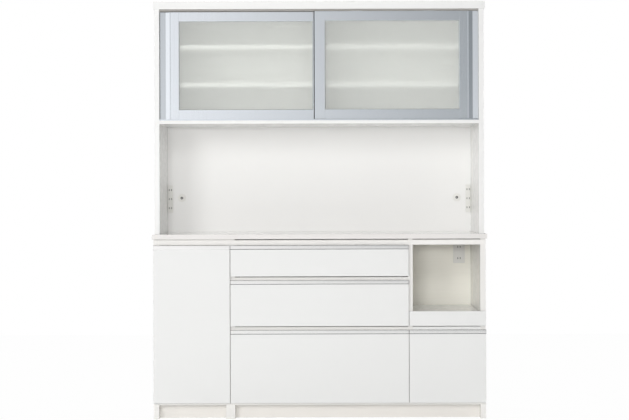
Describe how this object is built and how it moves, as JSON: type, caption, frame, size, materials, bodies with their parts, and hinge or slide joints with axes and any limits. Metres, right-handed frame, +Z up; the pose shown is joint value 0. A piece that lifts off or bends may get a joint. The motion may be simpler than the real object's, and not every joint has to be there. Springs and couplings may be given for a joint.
{
  "type": "kitchen cabinet",
  "caption": "Two-stage white kitchen cupboard: sliding frosted-glass doors over an open niche and counter, with drawers, a tall hinged door and an appliance slot with a pull-out tray.",
  "frame": {"origin": "on the floor, under the centre of the overall bounding box", "axes": "+Z up, +X to the viewer's right when facing the doors, -Y towards the viewer"},
  "size_m": [1.6, 0.5, 2.005],
  "materials": {
    "white_board": "white coated board, satin",
    "white_gloss": "white high-gloss coated front",
    "counter_laminate": "white laminate, semi-gloss",
    "inner_board": "paper-faced board, matt",
    "aluminium": "anodised, satin",
    "frosted_glass": "frosted, etched face",
    "runner_steel": "zinc plated",
    "white_plastic": "moulded, matt",
    "dark_plastic": "moulded, dark, matt",
    "nylon": "moulded nylon"
  },
  "bodies": {
    "cabinet": {"base_backs": "inner_board", "base_bottoms": "white_board", "base_side_left": "white_board", "base_side_right": "white_board", "carcass_rails": "white_board", "cord_glands": "white_plastic", "counter_top": "counter_laminate", "cupboard_inner_side": "white_board", "door_bottom_track": "aluminium", "door_top_track": "dark_plastic", "drawer_inner_side": "white_board", "fixed_runners": "runner_steel", "loose_shelves": "white_board", "outlets": "white_plastic", "pivot_brackets": "runner_steel", "plinth_boards": "white_board", "shelf_clips": "runner_steel", "slot_divider": "white_board", "slot_floor": "white_board", "top_panel": "white_board", "upper_back": "white_board", "upper_floor": "white_board", "upper_partition": "white_board", "upper_side_left": "white_board", "upper_side_right": "white_board"},
    "top_drawer": {"top_drawer_front": "white_gloss", "top_drawer_pull": "aluminium", "top_drawer_box": "inner_board", "top_drawer_inner_runners": "runner_steel"},
    "top_drawer_middle_runners": {"top_drawer_middle_runners": "runner_steel"},
    "middle_drawer": {"middle_drawer_front": "white_gloss", "middle_drawer_pull": "aluminium", "middle_drawer_box": "inner_board", "middle_drawer_inner_runners": "runner_steel"},
    "middle_drawer_middle_runners": {"middle_drawer_middle_runners": "runner_steel"},
    "deep_drawer": {"deep_drawer_front": "white_gloss", "deep_drawer_pull": "aluminium", "deep_drawer_box": "inner_board", "deep_drawer_inner_runners": "runner_steel"},
    "deep_drawer_middle_runners": {"deep_drawer_middle_runners": "runner_steel"},
    "right_drawer": {"right_drawer_front": "white_gloss", "right_drawer_pull": "aluminium", "right_drawer_box": "inner_board", "right_drawer_inner_runners": "runner_steel"},
    "right_drawer_middle_runners": {"right_drawer_middle_runners": "runner_steel"},
    "tray": {"tray_front": "white_gloss", "tray_board": "white_board", "tray_inner_runners": "runner_steel"},
    "tray_middle_runners": {"tray_middle_runners": "runner_steel"},
    "tall_door": {"tall_door_panel": "white_gloss", "tall_door_pull": "aluminium"},
    "left_glass_door": {"left_glass_door_frame": "aluminium", "left_glass_door_pane": "frosted_glass"},
    "left_glass_door_outer_roller": {"left_glass_door_outer_roller": "nylon"},
    "left_glass_door_inner_roller": {"left_glass_door_inner_roller": "nylon"},
    "right_glass_door": {"right_glass_door_frame": "aluminium", "right_glass_door_pane": "frosted_glass"},
    "right_glass_door_outer_roller": {"right_glass_door_outer_roller": "nylon"},
    "right_glass_door_inner_roller": {"right_glass_door_inner_roller": "nylon"}
  },
  "joints": [
    {"name": "top_drawer_slide", "type": "slide", "parent": "cabinet", "child": "top_drawer", "axis": [0, -1, 0], "range_m": [0, 0.4]},
    {"name": "top_drawer_middle_slide", "type": "slide", "parent": "cabinet", "child": "top_drawer_middle_runners", "axis": [0, -1, 0], "range_m": [0, 0.201]},
    {"name": "middle_drawer_slide", "type": "slide", "parent": "cabinet", "child": "middle_drawer", "axis": [0, -1, 0], "range_m": [0, 0.4]},
    {"name": "middle_drawer_middle_slide", "type": "slide", "parent": "cabinet", "child": "middle_drawer_middle_runners", "axis": [0, -1, 0], "range_m": [0, 0.201]},
    {"name": "deep_drawer_slide", "type": "slide", "parent": "cabinet", "child": "deep_drawer", "axis": [0, -1, 0], "range_m": [0, 0.4]},
    {"name": "deep_drawer_middle_slide", "type": "slide", "parent": "cabinet", "child": "deep_drawer_middle_runners", "axis": [0, -1, 0], "range_m": [0, 0.201]},
    {"name": "right_drawer_slide", "type": "slide", "parent": "cabinet", "child": "right_drawer", "axis": [0, -1, 0], "range_m": [0, 0.4]},
    {"name": "right_drawer_middle_slide", "type": "slide", "parent": "cabinet", "child": "right_drawer_middle_runners", "axis": [0, -1, 0], "range_m": [0, 0.201]},
    {"name": "tray_slide", "type": "slide", "parent": "cabinet", "child": "tray", "axis": [0, -1, 0], "range_m": [0, 0.33]},
    {"name": "tray_middle_slide", "type": "slide", "parent": "cabinet", "child": "tray_middle_runners", "axis": [0, -1, 0], "range_m": [0, 0.166]},
    {"name": "tall_door_hinge", "type": "hinge", "parent": "cabinet", "child": "tall_door", "pos_m": [-0.7894, -0.237, 0.446], "axis": [0, 0, -1], "range_deg": [0, 105]},
    {"name": "left_glass_door_slide", "type": "slide", "parent": "cabinet", "child": "left_glass_door", "axis": [1, 0, 0], "range_m": [0, 0.745]},
    {"name": "left_glass_door_outer_roller_spin", "type": "hinge", "parent": "left_glass_door", "child": "left_glass_door_outer_roller", "pos_m": [-0.529, -0.124, 1.4453], "axis": [0, 1, 0], "range_deg": [0, 5340.7]},
    {"name": "left_glass_door_inner_roller_spin", "type": "hinge", "parent": "left_glass_door", "child": "left_glass_door_inner_roller", "pos_m": [-0.179, -0.124, 1.4453], "axis": [0, 1, 0], "range_deg": [0, 5340.7]},
    {"name": "right_glass_door_slide", "type": "slide", "parent": "cabinet", "child": "right_glass_door", "axis": [1, 0, 0], "range_m": [-0.745, 0]},
    {"name": "right_glass_door_outer_roller_spin", "type": "hinge", "parent": "right_glass_door", "child": "right_glass_door_outer_roller", "pos_m": [0.529, -0.148, 1.4453], "axis": [0, 1, 0], "range_deg": [-5340.7, 0]},
    {"name": "right_glass_door_inner_roller_spin", "type": "hinge", "parent": "right_glass_door", "child": "right_glass_door_inner_roller", "pos_m": [0.179, -0.148, 1.4453], "axis": [0, 1, 0], "range_deg": [-5340.7, 0]}
  ],
  "couplings": [
    {"joint": "top_drawer_middle_slide", "follows": "top_drawer_slide", "ratio": 0.5},
    {"joint": "middle_drawer_middle_slide", "follows": "middle_drawer_slide", "ratio": 0.5},
    {"joint": "deep_drawer_middle_slide", "follows": "deep_drawer_slide", "ratio": 0.5},
    {"joint": "right_drawer_middle_slide", "follows": "right_drawer_slide", "ratio": 0.5},
    {"joint": "tray_middle_slide", "follows": "tray_slide", "ratio": 0.5},
    {"joint": "left_glass_door_outer_roller_spin", "follows": "left_glass_door_slide", "rad_per_m": 125},
    {"joint": "left_glass_door_inner_roller_spin", "follows": "left_glass_door_slide", "rad_per_m": 125},
    {"joint": "right_glass_door_outer_roller_spin", "follows": "right_glass_door_slide", "rad_per_m": 125},
    {"joint": "right_glass_door_inner_roller_spin", "follows": "right_glass_door_slide", "rad_per_m": 125}
  ]
}
